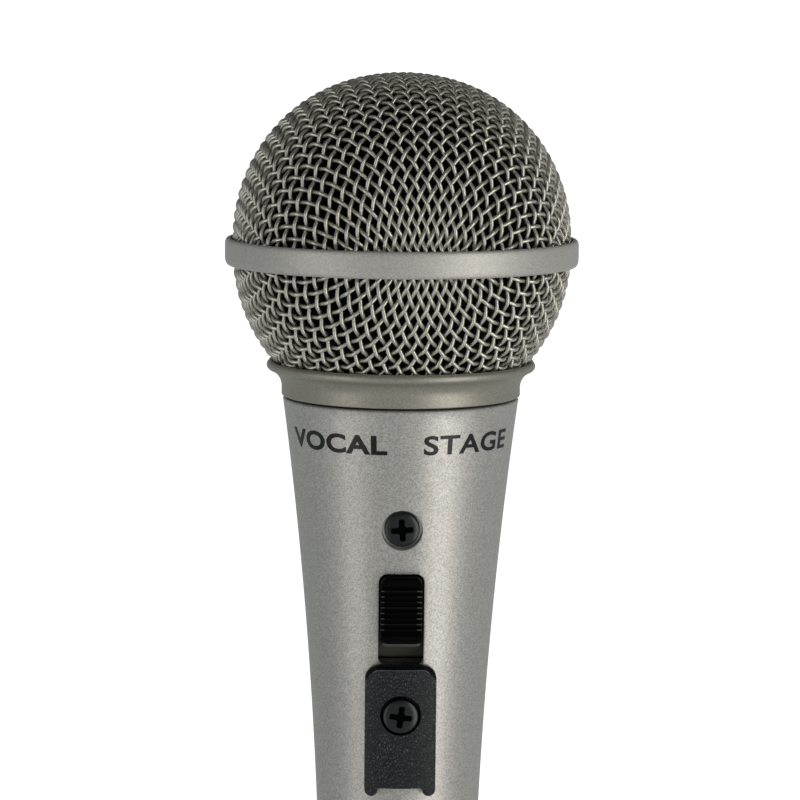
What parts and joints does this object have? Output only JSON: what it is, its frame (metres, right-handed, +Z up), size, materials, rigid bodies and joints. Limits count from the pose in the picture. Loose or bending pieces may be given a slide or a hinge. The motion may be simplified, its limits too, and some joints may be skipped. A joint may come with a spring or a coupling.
{
  "type": "dynamic microphone",
  "caption": "Handheld vocal microphone with a tapered metal handle, a woven wire ball grille, a sliding on-off switch with a lock plate, and a pin connector in its foot.",
  "frame": {"origin": "centre of the connector end's rim, at the foot of the handle", "axes": "+Z up the handle's axis to the ball, -Y out of the front where the switch is, +X to the right as seen from the front"},
  "size_m": [0.054, 0.054, 0.16],
  "materials": {
    "grille_paint": "fine metallic paint, satin",
    "handle_paint": "fine metallic paint, satin",
    "black_plastic": "moulded, satin black",
    "textured_plastic": "moulded black with a leather grain",
    "black_steel": "black finished steel",
    "bright_steel": "plain plated steel",
    "magnet_alloy": "plain magnet alloy",
    "gold": "gold plated",
    "copper": "enamelled copper wire",
    "clear_film": "thin clear film",
    "foam": "dark open-cell foam",
    "felt": "grey felt",
    "rubber": "black rubber",
    "circuit_board": "brown laminate",
    "wire_yellow": "yellow insulation",
    "wire_green": "green insulation",
    "wire_black": "black insulation"
  },
  "bodies": {
    "handle": {"handle_shell": "handle_paint", "capsule_housing": "black_plastic", "capsule_cover": "black_plastic", "front_screen": "felt", "diaphragm_clamp": "black_plastic", "diaphragm": "clear_film", "voice_coil": "copper", "gap_plate": "bright_steel", "pole_piece": "bright_steel", "magnet": "magnet_alloy", "magnet_yoke": "bright_steel", "rear_felt": "felt", "rear_chamber": "black_plastic", "shock_mount": "rubber", "terminal_board": "circuit_board", "capsule_lug_hot": "gold", "capsule_lug_cold": "gold", "switch_bracket": "bright_steel", "switch_frame": "bright_steel", "switch_body": "circuit_board", "switch_terminal_upper": "bright_steel", "switch_terminal_middle": "bright_steel", "switch_terminal_lower": "bright_steel", "upper_screw": "black_steel", "lock_plate": "textured_plastic", "lock_plate_screw": "black_steel", "connector_insert": "black_plastic", "connector_pin_1": "gold", "connector_pin_2": "gold", "connector_pin_3": "gold", "ground_ring": "gold", "connector_set_screw": "black_steel", "lead_capsule_to_switch": "wire_yellow", "lead_switch_to_pin_2": "wire_yellow", "lead_capsule_to_pin_3": "wire_green", "lead_ground_to_pin_1": "wire_black"},
    "switch": {"switch_knob": "black_plastic", "switch_contact": "bright_steel"},
    "collar_washer": {"collar_washer": "rubber"},
    "grille": {"grille_collar": "grille_paint", "grille_band": "grille_paint", "grille_dome": "grille_paint", "grille_bowl": "grille_paint", "foam_dome": "foam", "foam_bowl": "foam"}
  },
  "joints": [
    {"name": "switch_slide", "type": "slide", "parent": "handle", "child": "switch", "axis": [0, 0.0844, -0.9964], "range_m": [0, 0.0029]},
    {"name": "grille_lift", "type": "slide", "parent": "handle", "child": "collar_washer", "axis": [0, 0, 1], "range_m": [0, 0.005]},
    {"name": "grille_unscrew", "type": "hinge", "parent": "collar_washer", "child": "grille", "pos_m": [0, 0, 0.1113], "axis": [0, 0, 1], "range_deg": [0, 1800]}
  ],
  "couplings": [
    {"joint": "grille_unscrew", "follows": "grille_lift", "rad_per_m": 6283.2}
  ]
}
